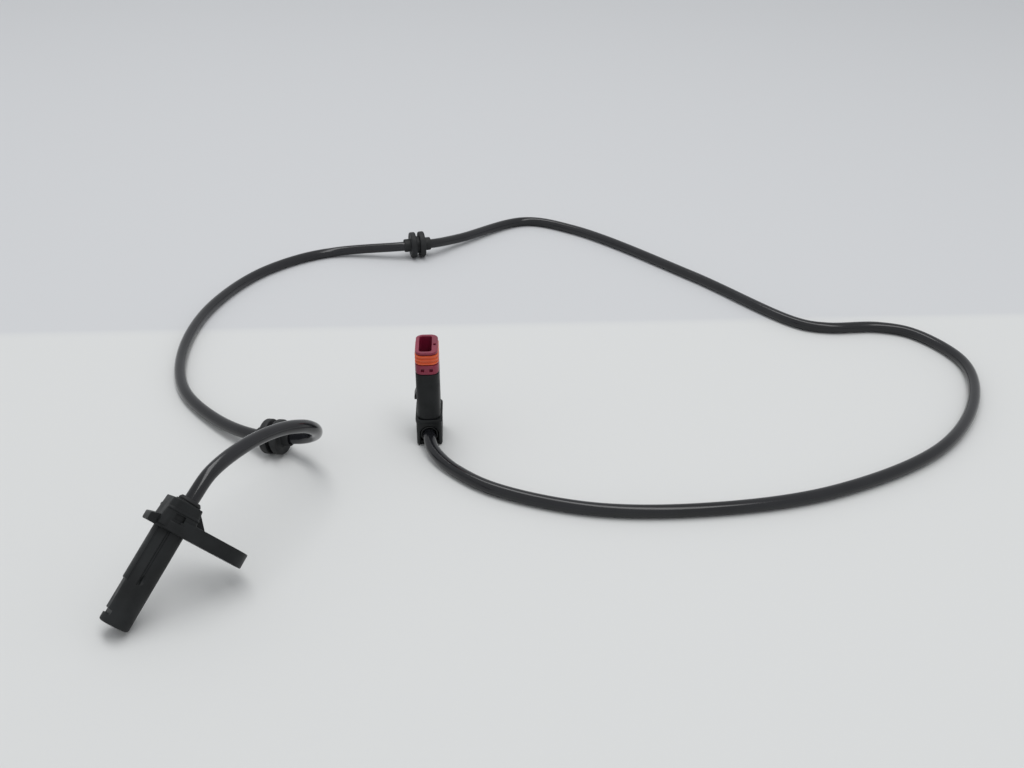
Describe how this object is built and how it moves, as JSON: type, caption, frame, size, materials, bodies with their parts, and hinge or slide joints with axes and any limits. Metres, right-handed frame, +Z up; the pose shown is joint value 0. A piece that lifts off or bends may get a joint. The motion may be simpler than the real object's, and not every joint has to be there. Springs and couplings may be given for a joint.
{
  "type": "wheel speed sensor",
  "caption": "Wheel speed sensor: slim round head with a bolted ear, a long free lead with rubber grommets, and an upright sealed connector with a crimson insert and orange seal.",
  "frame": {"origin": "on the surface that the part lies on, under the middle of the sensor head (without its lead)", "axes": "+Z up from the surface; +X to the right of the picture, along which the lying head is longest; +Y away from the viewer"},
  "size_m": [0.3582, 0.3512, 0.0417],
  "materials": {
    "housing_black": "moulded glass-filled plastic, matt with a fine grain",
    "bush_steel": "plain turned steel",
    "rubber_black": "moulded rubber, dull",
    "carrier_grey": "moulded plastic",
    "chip_black": "moulded package",
    "magnet_grey": "sintered magnet",
    "capacitor_tan": "fired ceramic",
    "contact_brass": "stamped strip",
    "core_brown": "conductor insulation",
    "core_black": "conductor insulation",
    "jacket_black": "smooth extruded jacket, semi-gloss",
    "insert_crimson": "moulded plastic, satin",
    "seal_orange": "moulded silicone"
  },
  "bodies": {
    "root": {"head_housing": "housing_black", "flange_bush": "bush_steel", "head_gland": "rubber_black", "sensor_carrier": "carrier_grey", "sensing_chip": "chip_black", "bias_magnet": "magnet_grey", "noise_capacitor": "capacitor_tan", "head_lead_left": "contact_brass", "head_lead_right": "contact_brass", "head_core_left": "core_brown", "head_core_right": "core_black", "cord": "jacket_black", "grommet_front": "rubber_black", "grommet_rear": "rubber_black", "connector_cover": "housing_black", "connector_gland": "rubber_black", "connector_body": "housing_black", "connector_insert": "insert_crimson", "connector_seal": "seal_orange", "contact_front": "contact_brass", "contact_back": "contact_brass", "plug_core_front": "core_brown", "plug_core_back": "core_black"}
  },
  "joints": []
}
